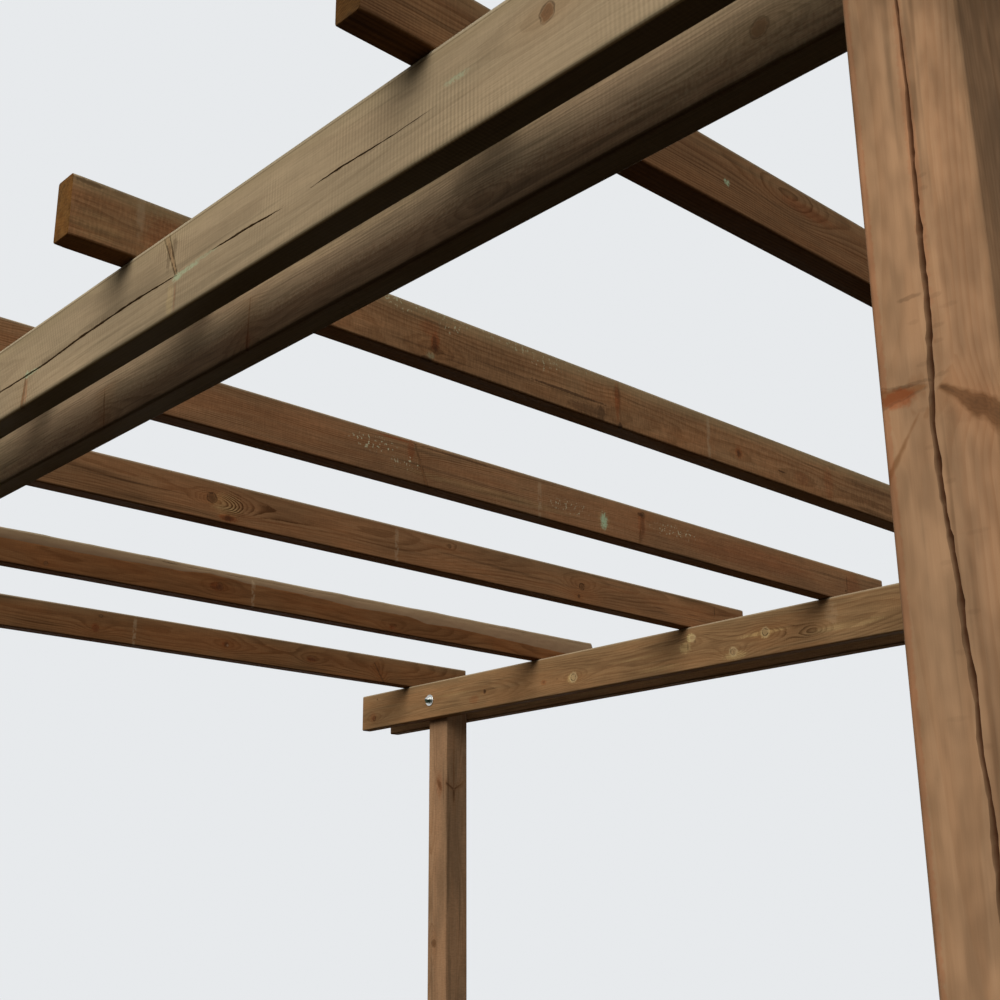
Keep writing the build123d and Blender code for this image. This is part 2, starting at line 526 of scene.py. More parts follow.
# Heights on a post are measured from the ground, and its z runs to the left of its front face. A patch
# is its place along and across, its reach along and across, its strength, and BACK if it lies there
LOOKS = {
    "post_front_right": {
        "streaks": 0.35, "grain": 0.18, "wool": 1.3, "wool_scale": (28, 90, 90), "pith": (4, 2),
        "lean": (2, -2), "ring": 3.6, "contrast": 0.4, "ripple": 0, "algae": 0.05,
        "knots": [
            spike_knot(1822, -44, 7, (0, 0, 1), 1, 0.19, shade=0, bark=0.35),
            spike_knot(1820, -44, 0, (-0.62, 0, -0.78), 1.8, 0.17, shade=0.62, bark=0.12),
            spike_knot(1806, -44, 15, (-0.82, 0, 0.57), 0.9, 0.045, lift=1, reach=6, shade=0.05, bark=0),
            spike_knot(1822, 4, -4, (0.1, 1, 0.1), 4, 0.1, shade=0.6), face_knot(1290, -18, 7),
            face_knot(1302, 22, 5, side=BACK), face_knot(760, 12, 8, shade=0.7),
            spike_knot(752, 2, -6, (0.1, 0.2, -1), 4, 0.1, shade=0.6),
        ],
        "patches": {
            "Red": [
                (1819, 31, 8, 16, 0.9), (1800, -26, 16, 20, 0.12), (1700, -26, 460, 24, 0.07),
                (1800, 41, 620, 3.5, 0.4), (2010, 0, 170, 5, 0.3),
            ],
            "Stain": [
                (1826, 22, 1.8, 22, 0.35), (1796, -20, 9, 20, 0.14), (1889, 15, 2, 11, 0.38),
                (1976, -5, 2, 4, 0.171), (1966, -5, 2, 4, 0.152), (1938, -1, 2, 4, 0.152),
                (1929, -1, 2, 4, 0.133), (1884, -5, 2, 6, 0.171), (1874, -14, 2, 7, 0.114),
                (1870, 13, 2, 5, 0.133), (1862, -5, 2, 5, 0.171), (1851, -4, 2, 4, 0.152),
                (1838, 10, 2, 5, 0.152), (1827, -4, 2, 5, 0.19), (1818, -3, 2, 6, 0.19),
                (1825, 14, 2, 5, 0.152), (1806, 13, 2, 4, 0.133), (1779, 11, 2, 4, 0.133),
                (1752, -1, 2, 4, 0.133), (1715, -15, 2, 10, 0.095), (1699, 8, 2, 5, 0.114),
                (1664, -7, 2, 5, 0.133), (1640, 5, 2, 4, 0.114), (1599, 12, 2, 9, 0.095),
                (1580, -6, 2, 4, 0.114),
            ],
        },
    },
    "post_front_left": {
        "pith": (-5, -8), "lean": (-3, 2), "ring": 3.4, "contrast": 0.5, "ripple": 0.3, "algae": 0.08,
        "knots": [
            face_knot(1930, -14, 7), face_knot(1415, 16, 9), face_knot(880, -8, 6), face_knot(360, 20, 8),
            spike_knot(1422, 0, 0, (0.1, 0.3, -1), 4, 0.1), face_knot(1900, 10, 8, side=BACK),
            face_knot(905, -16, 6, side=BACK),
        ],
    },
    "post_back_left": {
        "pith": (10, 12), "lean": (3, 3), "ring": 3.3, "contrast": 0.6, "ripple": 0.3, "algae": 0.05,
        "knots": [
            spike_knot(1957, -32, -25, (2.2, -1, 1.2), 9, 0, reach=16, shade=0.45, bark=0.15),
            spike_knot(1968, -13, -44, (-1, 0, -0.14), 4.2, 0, lift=2, reach=8, shade=0.95, bark=0.5),
            spike_knot(1968, -13, -44, (0.5, -0.86, 0), 3.4, 0, lift=2, reach=8, shade=0.85, bark=0.4),
            spike_knot(1968, -13, -44, (0.5, 0.86, -0.1), 3, 0, lift=2, reach=8, shade=0.7, bark=0.3),
            spike_knot(1968, -13, -44, (1, 0, -0.02), 2.2, 0, lift=2, reach=8, shade=0.4, bark=0.15),
            face_knot(1480, 14, 8), face_knot(960, -18, 7), face_knot(420, 6, 9),
            face_knot(1510, -6, 7, side=BACK), face_knot(700, 18, 6, side=BACK),
        ],
        "patches": {
            "Red": [(1984, -10, 50, 16, 0.25)],
            "Stain": [(1980, -11, 36, 7, 0.15)],
        },
    },
    "post_back_right": {
        "pith": (-14, 6), "lean": (-2, -3), "ring": 3.8, "contrast": 0.6, "ripple": 0.3, "algae": 0.05,
        "knots": [
            face_knot(2040, 16, 7), face_knot(1560, -12, 9), face_knot(1080, 8, 6), face_knot(520, -20, 8),
            face_knot(1590, 14, 7, side=BACK), face_knot(640, -6, 8, side=BACK),
        ],
    },
    "beam_front_outer": {
        "streaks": 0.15, "grain": 0.5, "wool": 0.25, "bleach": 0.9, "damp": 0.5, "clouds": 0.5,
        "pith": (95, 8), "lean": (14, -4), "ring": 4.2, "contrast": 0.25, "ripple": 1.3, "algae": 0.35,
        "knots": [
            spike_knot(601, -17, -8, (-0.42, 0, 0.91), 2.2, 0.055, lift=3, shade=0.1, pale=0.45, bark=1),
            spike_knot(192, -17, -12, (-0.12, 0, -1), 1.6, 0.06, lift=3, shade=0.2, bark=0.6),
            face_knot(-420, 18, 8), face_knot(-1010, -22, 7), face_knot(1240, 14, 8), face_knot(-1560, 30, 6),
            face_knot(1710, -18, 7),
        ],
        "patches": {
            # The long thin stain at z 53.5 is a painted shadow line under the top arris
            "Stain": [
                (579, 24, 5, 22, 0.45), (592, 34, 6, 16, 0.45), (601, -38, 1.6, 22, 0.25),
                (100, 53.5, 1900, 0.9, 0.5),
            ],
            "Pale": [(589, -38, 9, 24, 0.22)],
            "Red": [(600, -36, 2.2, 24, 0.4), (196, -38, 5, 22, 0.5)],
            "Green": [
                (604, -12, 11, 6, 0.5), (628, -10, 28, 3.5, 0.42), (660, -7, 36, 2.6, 0.24),
                (210, -13, 30, 3.5, 0.4), (194, -12, 7, 6, 0.5), (1120, 8, 22, 4, 0.3),
            ],
        },
    },
    "beam_front_inner": {
        "tint": (1.1, 1.07, 1.07), "streaks": 0.55, "grain": 1.2, "damp": 0.5, "pith": (48, -70),
        "lean": (3, 5), "ring": 2.6, "contrast": 0.5, "ripple": 0.35, "algae": 0.7,
        "knots": [
            face_knot(1000, -24, -3, lift=10, reach=30, shade=0, bark=0),
            spike_knot(570, -17, 16, (-0.04, 0, -1), 1.2, 0.02, lift=4, bark=0),
            spike_knot(182, -17, 8, (0.1, 0, -1), 1, 0.015, lift=2, shade=0.7, bark=0),
            face_knot(-640, -24, 8), face_knot(-1190, 20, 7), face_knot(1380, -16, 8),
        ],
        "patches": {
            # Painted shade: the wide red and dark patches at x 700 darken the lower part of the face; painted
            # light: the wide pale patch at x 820 lightens its upper part
            "Red": [(569, -48, 7, 18, 0.6), (182, -44, 12, 14, 0.35), (700, -50, 900, 36, 0.22)],
            "Stain": [
                (975, -44, 26, 5, 0.45), (183, -14, 3, 14, 0.5), (1012, -34, 14, 24, 0.35),
                (992, 0, 22, 26, 0.22), (700, -50, 900, 36, 0.28),
            ],
            "Pale": [(820, 36, 620, 24, 0.1)],
        },
    },
    "beam_back_inner": {
        "tint": (1, 0.98, 0.95), "wool": 0.3, "pith": (62, -14), "lean": (16, 5), "ring": 3.2,
        "contrast": 0.62, "ripple": 0.35, "algae": 0.15,
        "knots": [
            face_knot(-441, 28, 6, lift=6, reach=22, shade=0.1, pale=0.6, bark=0.15),
            face_knot(-302, -33, 7, lift=10, shade=0.2, pale=0.6, bark=0.6),
            face_knot(-193, 3, 7.5, reach=24, shade=0.9, pale=0.55, bark=1),
            face_knot(-40, -16, -3, lift=11, shade=0, bark=0),
            face_knot(-903, -17, 8.5, lift=7, shade=0.7, pale=0.7, bark=1),
            face_knot(-1298, -7, 4, lift=2, reach=12, shade=1, bark=1), face_knot(-1867, -25, 6.5, bark=0.9),
            face_knot(640, 18, 8),
        ],
        "patches": {
            "Pale": [
                (-443, 30, 17, 13, 0.85), (-464, 4, 22, 18, 0.4), (-195, 2, 80, 6, 0.45),
                (-190, 0, 18, 14, 0.75), (-292, -44, 42, 13, 0.4), (-909, -19, 17, 15, 0.6),
                (-650, 0, 110, 4, 0.2), (-1450, 6, 90, 5, 0.22), (-560, -40, 90, 8, 0.2),
                (60, -20, 120, 10, 0.2),
            ],
            "Stain": [
                (-454, 4, 3.5, 13, 0.5), (-428, 16, 5, 5, 0.45), (-446, -10, 14, 1.6, 0.3),
                (-307, -30, 3, 9, 0.5), (-296, -36, 3, 8, 0.4), (-1026, -15, 6, 4, 0.5),
                (-968, -12, 5, 3, 0.4), (-1294, -7, 5, 5, 0.9), (-1848, 40, 5, 3.5, 0.8),
            ],
            "Bold": [(-80, -14, 60, 24, 0.6)],
            "Red": [(-1344, -26, 26, 16, 0.35), (-1026, -15, 14, 9, 0.5), (-1870, -20, 18, 18, 0.4)],
            "Band": [(20, 20, 22, 30, 0.5)],
        },
    },
    "beam_back_outer": {
        "pith": (-80, 12), "lean": (-12, 5), "ring": 3.6, "contrast": 0.7, "ripple": 0.5, "algae": 0.25,
        "knots": [
            face_knot(-1300, 16, 9, side=BACK), face_knot(-510, -20, 8, side=BACK),
            face_knot(260, 24, 7, side=BACK), face_knot(1120, -12, 9, side=BACK), face_knot(-880, 20, 7),
            face_knot(700, -24, 8),
        ],
        "patches": {
            "Green": [(420, 6, 30, 4, 0.7, BACK)],
        },
    },
    "rafter_1": {
        "tint": (0.663, 0.611, 0.595), "pith": (74, 10), "lean": (9, 3), "ring": 3.4, "contrast": 0.7,
        "ripple": 0.2, "algae": 0.2,
        "knots": [
            face_knot(-130, -13, 8, bark=0.4), face_knot(-117, 26, 2.5, lift=2, reach=9),
            face_knot(305, 1, 6.5, shade=0.95, bark=0.6), face_knot(628, -2, 8, shade=0.7, bark=0.4),
            spike_knot(884, -19, 20, (0.55, 0, -0.83), 1.4, 0.01, lift=9, shade=0.9), face_knot(-760, 12, 8),
        ],
        "patches": {
            "Band": [*stick_bands(-4, 1), (313, -1, 4, 4, 3)],
            "Red": [(628, -4, 20, 9, 0.6), (-128, -10, 13, 14, 0.6), (305, 1, 14, 10, 0.4)],
            "Stain": [(630, -3, 18, 4, 0.4)],
        },
    },
    "rafter_2": {
        "tint": (0.64, 0.545, 0.493), "pith": (66, -16), "lean": (7, -5), "ring": 3.2, "contrast": 0.6,
        "ripple": 0.2, "algae": 0.2,
        "knots": [
            face_knot(-112, -5, 8, shade=0.95, bark=0.6), face_knot(-584, -29, 3, lift=3, reach=10),
            face_knot(458, -31, 5, shade=0.3, bark=0.3),
        ],
        "patches": {
            "Band": [*stick_bands(-7, 0.9)],
            "Red": [(458, -30, 12, 7, 0.6), (-116, -7, 22, 11, 0.5)],
            "Stain": [(-120, -10, 18, 5, 0.35), (1038, 24, 2, 18, 0.8)],
        },
    },
    "rafter_3": {
        "tint": (0.837, 0.828, 0.902), "pith": (58, 6), "lean": (15, 3), "ring": 2.7, "contrast": 0.62,
        "ripple": 0.2, "algae": 0.15,
        "knots": [
            face_knot(-494, 2, 9, lift=5, reach=16, shade=0.85, bark=0.9, slant=(-0.3, 0.1)),
            face_knot(-482, -6, -3, lift=14, reach=24, shade=0, bark=0),
            face_knot(-466, -31, 5, lift=4, reach=14, shade=0.8, bark=0.5),
            face_knot(607, 1, 7, lift=12, reach=24, shade=0.7, bark=1),
            face_knot(595, -27, 2.6, lift=2, reach=9, shade=1), face_knot(-960, 16, 8),
            face_knot(150, 24, 3, lift=3, reach=10),
        ],
        "patches": {
            "Band": [*stick_bands(-8, 0.9)],
            "Stain": [
                (916, -8, 26, 2.2, 0.5), (1061, -7, 24, 2.2, 0.5), (-462, -32, 20, 6, 0.6),
                (1159, 20, 2.2, 19, 0.7), (-690, -1, 180, 1.4, 0.5),
            ],
            "Red": [(-464, -31, 26, 8, 0.8)],
            "Bold": [(-452, 0, 34, 30, 1), (-350, 2, 110, 16, 0.5)],
            "Pale": [(-468, -4, 38, 28, 0.38)],
        },
    },
    "rafter_4": {
        "tint": (0.911, 0.939, 1.091), "wool": 0.6, "pith": (30, 108), "lean": (-3, 22), "ring": 2.8,
        "contrast": 0.85, "ripple": 0.25, "algae": 0.15,
        "knots": [
            spike_knot(-343, -19, 38, (0.36, 0, -0.93), 1.2, 0.03, shade=0.3, bark=0.55),
            face_knot(317, 28, 4.5, lift=5, reach=16, shade=0.95, bark=1),
            spike_knot(316, -19, 24, (-0.15, 0, -1), 1.4, 0.04, lift=4, shade=0.3, bark=0),
        ],
        "patches": {
            "Band": [*stick_bands(-4, 0.9)],
            "Specks": [
                (-445, 14, 62, 18, 0.7), (-368, -6, 36, 17, 0.6), (90, -2, 70, 17, 0.42),
                (430, 10, 90, 16, 0.5),
            ],
            "Green": [(192, -12, 12, 20, 0.85)],
            "Pale": [(192, -10, 22, 24, 0.15), (-150, -20, 260, 9, 0.12)],
            "Stain": [
                (-225, 35, 125, 2.6, 0.75), (-70, 35, 110, 2, 0.45), (1122, 6, 3, 24, 0.5),
                (320, 2, 7, 24, 0.5), (313, -22, 6, 18, 0.42), (312, 28, 9, 5, 0.8), (1115, -15, 4, 3.5, 0.9),
            ],
            "Red": [
                (-352, 22, 10, 26, 0.55), (-390, 36, 45, 3, 0.8), (1150, 6, 40, 34, 0.4),
                (700, 0, 280, 30, 0.3), (316, 4, 14, 34, 0.35),
            ],
        },
    },
    "rafter_5": {
        "tint": (0.905, 0.93, 1.035), "wool": 1.1, "pith": (52, -34), "lean": (10, 4), "ring": 3.3,
        "contrast": 0.55, "ripple": 0.14, "algae": 0.6,
        "knots": [
            face_knot(-692, -22, 6, lift=8, shade=0.8, bark=0.6),
            spike_knot(-268, -19, -44, (-0.05, 0, 1), 2.2, 0, lift=2, shade=0.4, bark=0.2),
            face_knot(60, -12, 4, lift=3, reach=12, shade=0.9, bark=0.4),
        ],
        "patches": {
            "Band": [*stick_bands(-27, 1, 6), (-1196, 20, 7, 34, 1)],
            # The wide stains at x -1215 and -1160 are painted shade that darkens the rafter's end
            "Stain": [
                (-1215, 0, 80, 60, 0.28), (-690, -12, 6, 14, 0.6), (-706, -42, 16, 5, 0.8),
                (-540, -15, 75, 2, 0.5), (-395, -12, 100, 3.2, 0.9), (-640, -30, 40, 1.4, 0.4),
                (-355, -31, 50, 11, 0.62), (-318, -30, 12, 16, 0.75), (262, -20, 14, 9, 0.2),
                (-276, 20, 12, 12, 0.4), (-270, -40, 6, 6, 0.9), (60, -12, 4, 9, 0.6),
                (196, -17, 13, 2.2, 0.9), (372, 31, 16, 6, 0.3), (-1268, 37, 26, 4, 0.6),
                (-1225, 38, 14, 6, 0.4), (-1160, 10, 70, 60, 0.12),
            ],
            "Red": [
                (-690, -8, 10, 18, 0.75), (-700, 10, 22, 16, 0.4), (262, -16, 30, 14, 0.3),
                (-276, 5, 7, 40, 0.6), (62, -10, 12, 14, 0.5), (355, -6, 18, 38, 0.35),
                (-1150, -5, 42, 40, 0.4),
            ],
            "Green": [(-699, -34, 9, 6, 0.2)],
            "Specks": [
                (-760, 34, 50, 12, 0.48), (-655, 28, 28, 16, 0.42), (-505, 34, 40, 10, 0.35),
                (-452, 26, 38, 16, 0.5), (-600, 38, 420, 8, 0.2),
            ],
            "Pale": [(-1255, -20, 40, 22, 0.12)],
        },
    },
    "rafter_6": {
        "tint": (0.659, 0.672, 0.745), "wool": 0.6, "pith": (34, 14), "lean": (13, -6), "ring": 3.1,
        "contrast": 0.95, "ripple": 0.25, "algae": 0.2,
        "knots": [
            face_knot(-600, 22, 3, lift=16, reach=34, shade=0.1, bark=0), face_knot(110, -14, 9),
            face_knot(560, 18, 6), face_knot(1010, -8, 7), face_knot(-210, 10, 8, side=BACK),
        ],
        "patches": {
            "Band": [*stick_bands(6, 0.8)],
            "Green": [(-730, -8, 6, 5, 0.7)],
            "Red": [(-560, 16, 60, 10, 0.4)],
        },
    },
    "rafter_7": {
        "pith": (-70, -8), "lean": (-9, 4), "ring": 3.4, "contrast": 0.7, "ripple": 0.25, "algae": 0.2,
        "knots": [
            face_knot(-880, 10, 8), face_knot(-300, -18, 7), face_knot(420, 12, 9), face_knot(930, -20, 6),
            face_knot(260, 6, 8, side=BACK),
        ],
        "patches": {
            "Band": [*stick_bands(-10, 0.8)],
        },
    },
}

# Drying checks: where along and across the show face each station lies, and the half-width there
CHECKS = {
    "beam_front_outer": [
        [(60, -14, 0.0), (106, -12, 0.9), (182, -13, 0.9), (250, -13, 1.1), (353, -8, 1.3), (488, -6, 1.5),
         (540, -7, 1.3), (578, -8, 1.1), (602, -9, 0.0)],
        [(676, -6, 0.0), (700, -6, 1.0), (752, -7, 1.3), (790, -9, 1.0), (830, -11, 0.0)],
        [(880, -9, 0.0), (905, -8, 1.0), (940, -8, 1.15), (1010, -10, 0.9), (1090, -9, 0.0)],
    ],
    "post_front_right": [
        [(1180, 2, 0.0), (1260, 3, 0.8), (1400, -1, 1.3), (1537, -4, 1.7), (1558, -3, 1.7), (1578, -1, 1.5),
         (1606, -2, 1.7), (1627, -1, 1.8), (1649, 1, 1.7), (1678, 1, 1.9), (1708, 3, 1.9), (1731, 5, 1.9),
         (1756, 6, 2), (1796, 7, 2.1), (1818, 5, 2.2), (1841, 4, 2.1), (1862, 2, 2), (1888, 1.5, 1.9),
         (1920, 1.5, 1.8), (1945, 1, 1.7), (1985, 0.5, 1.4), (2050, -1, 1.2), (2140, 0, 0.7), (2180, 1, 0.0)],
    ],
}

# The waney rafter: along it, and how far down its show face the bark side reaches
WANE = [(-1293, 28), (-900, 27), (-696, 31), (-600, 31), (-509, 31.5), (-400, 31), (-314, 28.5), (-224, 28),
        (-140, 20), (-110, 22), (-60, 24), (-25, 28), (3, 27), (120, 28), (240, 31), (325, 37), (430, 33),
        (520, 33), (589, 44), (701, 40), (820, 44), (952, 48), (1134, 54), (1293, 56)]
WANE_WIDTH = 20

# Attributes that the meshes give to the wood's nodes, and how deep a patch reaches into the wood
BARK_SIDE = "bark_side"
CHECK_DEPTH = "check_depth"
PATCH_DEPTH = 9 * MM
# Settings of a look that the wood's group takes as they are
SHADER_LOOKS = (
    "contrast", "streaks", "grain", "wool", "wool_scale", "clouds", "ripple", "algae", "damp", "bleach",
)

# How far the saw's chamfer, the wear of the arrises and the faces' unevenness reach
END_CHAMFER = 0.8 * MM
WEAR = 0.7 * MM
SWELL = 0.5 * MM
# Cross loops stand closer on a checked timber, and all loops on the waney one
CHECKED_STEP = 0.6
COLUMNS = {"post": 8 * MM, "beam": 9 * MM, "rafter": 8 * MM}
WANEY_COLUMN, WANEY_STEP = 4 * MM, 8 * MM
# Angles in degrees past which an edge of wood or of steel stays sharp
WOOD_CREASE, STEEL_CREASE = 38, 25


# ---- Meshes


def new_piece(name, bm, materials, crease, nodes=()):
    """Turn a bmesh into a smooth piece, sharp past a crease in degrees, that rides on the only body."""
    for face in bm.faces:
        face.smooth = True
    mesh = bpy.data.meshes.new(name)
    bm.to_mesh(mesh)
    bm.free()
    piece = bpy.data.objects.new(name, mesh)
    bpy.context.scene.collection.objects.link(piece)
    for material in materials:
        mesh.materials.append(material)
    mesh.set_sharp_from_angle(angle=math.radians(crease))
    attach(piece, BODY)
    if nodes:
        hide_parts(*nodes)
    return piece


def between(stations, x):
    """Values at x, taken in straight lines between stations of (x, value, ...)."""
    if x <= stations[0][0]:
        return stations[0][1:]
    for left, right in zip(stations, stations[1:]):
        if x <= right[0]:
            share = (x - left[0]) / (right[0] - left[0])
            return tuple(a + (b - a) * share for a, b in zip(left[1:], right[1:]))
    return stations[-1][1:]


def cut_across(bm, where, axis, faces=None):
    """Add a loop of edges where a plane crosses the mesh, or only some of its faces."""
    if faces is None:
        geometry = bm.verts[:] + bm.edges[:] + bm.faces[:]
    else:
        edges = {edge for face in faces for edge in face.edges}
        verts = {vert for face in faces for vert in face.verts}
        geometry = list(verts) + list(edges) + list(faces)
    bmesh.ops.bisect_plane(bm, geom=geometry, dist=1e-6, plane_co=axis * where, plane_no=axis)


def squared_timber(length, thickness, depth, arris, step, column):
    """A planed timber with rounded arrises, a sharp sawn end each way, and an even mesh."""
    bm = bmesh.new()
    bmesh.ops.create_cube(bm, size=1.0)
    bmesh.ops.scale(bm, vec=(length, thickness, depth), verts=bm.verts[:])
    long_edges = [e for e in bm.edges if abs(e.verts[0].co.x - e.verts[1].co.x) > length / 2]
    bmesh.ops.bevel(
        bm, geom=long_edges, offset=arris, offset_type="OFFSET", segments=4, profile=0.5, affect="EDGES",
        material=-1,
    )
    end_edges = [
        e for e in bm.edges
        if all(abs(abs(v.co.x) - length / 2) < 1e-6 for v in e.verts) and len(e.link_faces) == 2
    ]
    bmesh.ops.bevel(
        bm, geom=end_edges, offset=END_CHAMFER, offset_type="OFFSET", segments=1, profile=0.5, affect="EDGES",
        material=-1,
    )
    for size, axis in ((depth, Vector((0, 0, 1))), (thickness, Vector((0, 1, 0)))):
        flat = size - 2 * arris
        count = max(2, round(flat / column))
        for index in range(1, count):
            cut_across(bm, -flat / 2 + flat * index / count, axis)
    long_edges = [e for e in bm.edges if abs(e.verts[0].co.x - e.verts[1].co.x) > length / 2]
    bmesh.ops.subdivide_edges(bm, edges=long_edges, cuts=round(length / step) - 1, use_grid_fill=True)
    return bm


def open_checks(bm, checks, thickness, depth, arris, centre_x):
    """Open drying checks in the show face as real V-shaped grooves."""
    half_cut = 0.6 * MM
    steepness = 6.5
    face_y = -thickness / 2
    across = Vector((0, 0, 1))
    layer = bm.verts.layers.float.new(CHECK_DEPTH)
    for stations in checks:
        stations = [((x * MM) - centre_x, z * MM, half * MM) for x, z, half in stations]
        first, last = stations[0][0], stations[-1][0]
        middle = sum(s[1] for s in stations) / len(stations)
        for where in (middle - half_cut, middle + half_cut, middle):
            faces = [
                f for f in bm.faces
                if f.normal.y < -0.99 and first - 0.01 < f.calc_center_median().x < last + 0.01
            ]
            cut_across(bm, where, across, faces)
        reach = depth / 2 - arris - abs(middle)
        for vert in bm.verts:
            x = vert.co.x
            if abs(vert.co.y - face_y) > 1e-6 or not first <= x <= last:
                continue
            path, half = between(stations, x)
            path += 0.5 * MM * noise.noise(Vector((x * 38, 3.1, first)))
            path += 0.45 * MM * noise.noise(Vector((x * 150, 1.7, first)))
            half *= 0.95 + 0.45 * noise.noise(Vector((x * 60, 7.7, first)))
            half *= 1 + 0.5 * noise.noise(Vector((x * 190, 5.3, first)))
            offset = vert.co.z - middle
            falloff = max(0.0, 1 - (offset / reach) ** 2) ** 2
            shift = (path - middle) * falloff
            if abs(offset) < half_cut * 0.1:
                vert.co.y += half * steepness
                vert.co.z += shift
                vert[layer] = min(1.0, half / (0.5 * MM))
            elif abs(abs(offset) - half_cut) < half_cut * 0.1:
                vert.co.z = middle + shift + math.copysign(max(half, 0.1 * MM), offset)
            else:
                vert.co.z += shift + half * falloff * math.copysign(1, offset)
    bm.normal_update()


def saw_wane(bm, thickness, depth):
    """Take the upper edge of the show side back to the uneven bark side of the log."""
    width = WANE_WIDTH * MM
    layer = bm.verts.layers.float.new(BARK_SIDE)
    for vert in bm.verts:
        inwards = vert.co.y + thickness / 2
        down = depth / 2 - vert.co.z
        x = vert.co.x
        reach = between(WANE, x / MM)[0] * MM + 1.2 * MM * noise.noise(Vector((x * 25, 0.0, 4.0)))
        wide = width * (0.88 + 0.22 * noise.noise(Vector((x * 9, 2.0, 0.0))))
        share = inwards / wide + down / reach
        vert[layer] = share
        if share < 1:
            hollow = 1 - 0.10 * math.sin(math.pi * min(1.0, down / reach))
            hollow += 0.05 * noise.noise(Vector((x * 40, down * 90, 9.0)))
            step = (hollow - share) / (1 / wide ** 2 + 1 / reach ** 2)
            if step > 0:
                vert.co.y += step / wide
                vert.co.z -= step / reach


def weather(bm, size, seed):
    """Let the surfaces wander a little inwards, and wear the arrises unevenly."""
    bm.normal_update()
    half = Vector(size) / 2
    moves = []
    for vert in bm.verts:
        p = vert.co
        normal = vert.normal
        slow = noise.noise(Vector((p.x * 3.0, p.y * 9 + seed, p.z * 9)))
        inwards = SWELL * (0.5 + 0.5 * slow)
        corner = max(0.0, 1 - abs(abs(normal.y) - abs(normal.z)) / 0.8)
        nick = max(0.0, noise.noise(Vector((p.x * 14.0, seed, p.y * 5))) - 0.25)
        inwards += corner * WEAR * (0.4 + 0.6 * slow + 2.2 * nick)
        moves.append(-normal * max(0.0, inwards))
    for vert, move in zip(bm.verts, moves):
        vert.co.y = max(-half.y, min(half.y, vert.co.y + move.y))
        vert.co.z = max(-half.z, min(half.z, vert.co.z + move.z))


def new_material(name):
    """A material with an empty node tree, and the tree's net."""
    material = bpy.data.materials.new(name)
    material.use_nodes = True
    material.node_tree.nodes.clear()
    return material, Net(material.node_tree)


def finish_material(net, inputs):
    """Add the shader with its inputs, and the output."""
    shader = net.add("ShaderNodeBsdfPrincipled", inputs)
    net.add("ShaderNodeOutputMaterial", {"Surface": shader.outputs[0]})


def add_marks(net, name, place, patch_tree, look, half_thickness):
    """The strength of each kind of mark, from the timber's patches and from what its mesh tells."""
    marks = {kind: 0.0 for kind in MARKS}
    if look["patches"]:
        ragged = net.times_plus(net.noise(place, 240.0), 1.1, -0.55)
    for kind, rows in look["patches"].items():
        for x, z, along, across, strength, *side in rows:
            marks[kind] = net.group(patch_tree, {
                "Position": place, "Ragged": ragged, "Strength": strength, "Mask": marks[kind],
                "Centre": (x * MM - look["origin"], (*side, SHOW)[0] * half_thickness, z * MM),
                "Reach": (along * MM, PATCH_DEPTH, across * MM),
            })["Mask"]
    # Salts lie in clusters, specks as single dots, and the stacking sticks leave broken bands
    for kind, scale, detail, low, high in GRAINS:
        if kind in look["patches"]:
            grains = net.ramp(net.noise(place, scale, detail), low, high)
            marks[kind] = net.times(marks[kind], grains, clamp=True)
    if name == WANEY:
        marks["Bark side"] = net.ramp(net.attribute(BARK_SIDE), 0.97, 1.03, 1.0, 0.0)
    if name in CHECKS:
        # Painted shade: the drying checks get darker the deeper they open
        marks["Shade in check"] = net.ramp(net.attribute(CHECK_DEPTH), 0.02, 0.45)
    return marks


def wood_material(name, groups, centre, axes, half, colours, look, seed):
    """A timber's own wood: its rings, knots, marks and stains in its own coordinates."""
    material, net = new_material(f"{name}_wood")
    objects = net.add("ShaderNodeTexCoord").outputs["Object"]
    frame_to_timber = {"Vector": objects, "Location": centre, "Rotation": axes.to_euler()}
    place = net.add("ShaderNodeMapping", frame_to_timber, vector_type="TEXTURE").outputs[0]
    half_length, half_thickness, half_depth = half

    wander = net.times_plus(net.noise(place, 115.0), 9.6 * MM, -4.8 * MM)
    carried = {key: 0.0 for key in CARRIED}
    for knot in look["knots"]:
        root = (knot["Root"][0] - look["origin"], *knot["Root"][1:])
        outputs = net.group(groups["knot"], {"Position": place, "Wander": wander, **knot, "Root": root, **carried})
        carried = {key: outputs[key] for key in CARRIED}

    tinted = ([a * b for a, b in zip(colour, look["tint"])] for colour in colours)
    wood = net.group(groups["wood"], {
        "Position": place,
        "Seed": (seed * 7.31, seed * 3.17, seed * 5.23),
        "Pith": (0.0, *(value * MM for value in look["pith"])),
        "Lean": (0.0, *(value * MM for value in look["lean"])),
        "Ring width": look["ring"] * MM,
        "Half length": half_length,
        "Half depth": half_depth,
        "Underside": 0.0 if name in POSTS else 1.0,
        **dict(zip(("Early", "Late", "Heart"), tinted)),
        **{key.replace("_", " ").capitalize(): look[key] for key in SHADER_LOOKS},
        **carried,
        **add_marks(net, name, place, groups["patch"], look, half_thickness),
    })
    bump = net.add("ShaderNodeBump", {"Strength": 1.0, "Distance": 1.0, "Height": wood["Height"]}).outputs[0]
    finish_material(net, {
        "Base Color": wood["Colour"], "Roughness": wood["Roughness"], "Specular IOR Level": 0.02, "Normal": bump,
    })
    return material


def shared_groups():
    """The node groups that all timbers share, made once."""
    makers = {"knot": ("branch_knot", knot_group), "patch": ("surface_patch", patch_group),
              "wood": ("sawn_softwood", wood_group)}
    return {key: bpy.data.node_groups.get(name) or make() for key, (name, make) in makers.items()}


